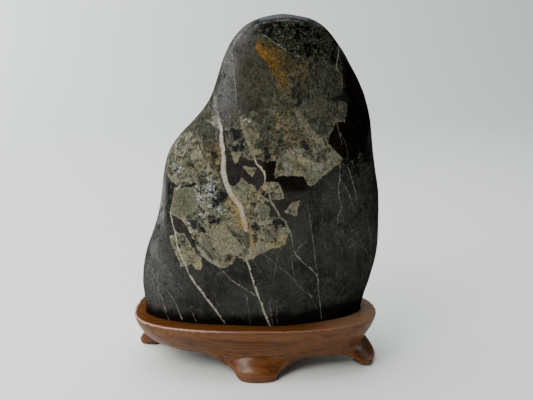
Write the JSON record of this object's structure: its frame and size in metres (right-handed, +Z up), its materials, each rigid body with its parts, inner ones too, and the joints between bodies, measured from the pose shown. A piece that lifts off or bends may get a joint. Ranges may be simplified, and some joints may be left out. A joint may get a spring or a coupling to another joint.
{
  "type": "scholars rock",
  "caption": "Scholar's rock: an upright water-worn dark stone with pale patches and veins, resting in an oval carved wooden stand on short scroll feet.",
  "frame": {"origin": "middle of the footprint, on the surface the feet stand on", "axes": "+Z up, +X towards the viewer's right, -Y towards the viewer"},
  "size_m": [0.1255, 0.0686, 0.175],
  "materials": {
    "stone": "water-worn, semi-gloss",
    "stand": "satin oil finish"
  },
  "bodies": {
    "root": {"stone": "stone", "stand": "stand"}
  },
  "joints": []
}
